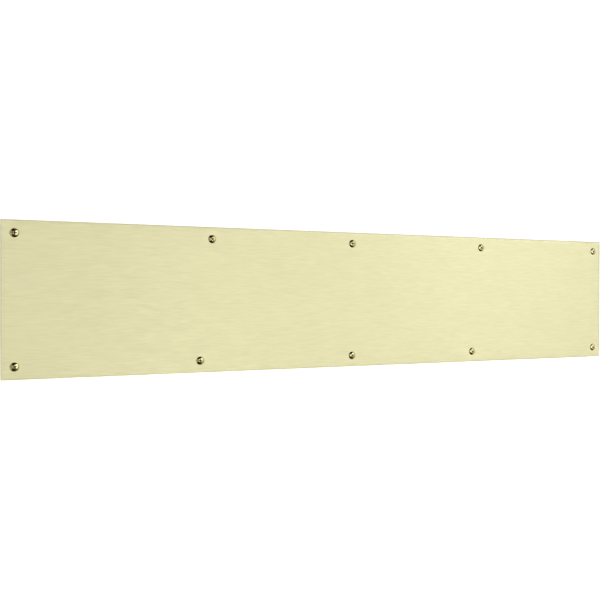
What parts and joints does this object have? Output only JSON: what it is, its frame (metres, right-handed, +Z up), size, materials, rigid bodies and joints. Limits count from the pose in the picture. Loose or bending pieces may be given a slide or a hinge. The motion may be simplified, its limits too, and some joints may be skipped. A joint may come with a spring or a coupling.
{
  "type": "door kick plate",
  "caption": "Satin brass kick plate: a thin bevelled sheet with countersunk holes along its long edges, held to a door's foot by raised-head cross-recess wood screws.",
  "frame": {"origin": "centre of the back face, which lies on the door", "axes": "+X along the plate's length, to the right as seen from the front; +Z up the plate's height; +Y through the plate into the door, so the brushed front faces -Y"},
  "size_m": [0.762, 0.0203, 0.1524],
  "materials": {
    "plate_brass": "satin, brushed along the length",
    "screw_brass": "polished"
  },
  "bodies": {
    "kick_plate": {"kick_plate": "plate_brass"},
    "screw_top_1": {"screw_top_1": "screw_brass"},
    "screw_top_2": {"screw_top_2": "screw_brass"},
    "screw_top_3": {"screw_top_3": "screw_brass"},
    "screw_top_4": {"screw_top_4": "screw_brass"},
    "screw_top_5": {"screw_top_5": "screw_brass"},
    "screw_bottom_1": {"screw_bottom_1": "screw_brass"},
    "screw_bottom_2": {"screw_bottom_2": "screw_brass"},
    "screw_bottom_3": {"screw_bottom_3": "screw_brass"},
    "screw_bottom_4": {"screw_bottom_4": "screw_brass"},
    "screw_bottom_5": {"screw_bottom_5": "screw_brass"}
  },
  "joints": [
    {"name": "screw_top_1_withdraw", "type": "slide", "parent": "kick_plate", "child": "screw_top_1", "axis": [0, -1, 0], "range_m": [0, 0.02]},
    {"name": "screw_top_2_withdraw", "type": "slide", "parent": "kick_plate", "child": "screw_top_2", "axis": [0, -1, 0], "range_m": [0, 0.02]},
    {"name": "screw_top_3_withdraw", "type": "slide", "parent": "kick_plate", "child": "screw_top_3", "axis": [0, -1, 0], "range_m": [0, 0.02]},
    {"name": "screw_top_4_withdraw", "type": "slide", "parent": "kick_plate", "child": "screw_top_4", "axis": [0, -1, 0], "range_m": [0, 0.02]},
    {"name": "screw_top_5_withdraw", "type": "slide", "parent": "kick_plate", "child": "screw_top_5", "axis": [0, -1, 0], "range_m": [0, 0.02]},
    {"name": "screw_bottom_1_withdraw", "type": "slide", "parent": "kick_plate", "child": "screw_bottom_1", "axis": [0, -1, 0], "range_m": [0, 0.02]},
    {"name": "screw_bottom_2_withdraw", "type": "slide", "parent": "kick_plate", "child": "screw_bottom_2", "axis": [0, -1, 0], "range_m": [0, 0.02]},
    {"name": "screw_bottom_3_withdraw", "type": "slide", "parent": "kick_plate", "child": "screw_bottom_3", "axis": [0, -1, 0], "range_m": [0, 0.02]},
    {"name": "screw_bottom_4_withdraw", "type": "slide", "parent": "kick_plate", "child": "screw_bottom_4", "axis": [0, -1, 0], "range_m": [0, 0.02]},
    {"name": "screw_bottom_5_withdraw", "type": "slide", "parent": "kick_plate", "child": "screw_bottom_5", "axis": [0, -1, 0], "range_m": [0, 0.02]}
  ]
}
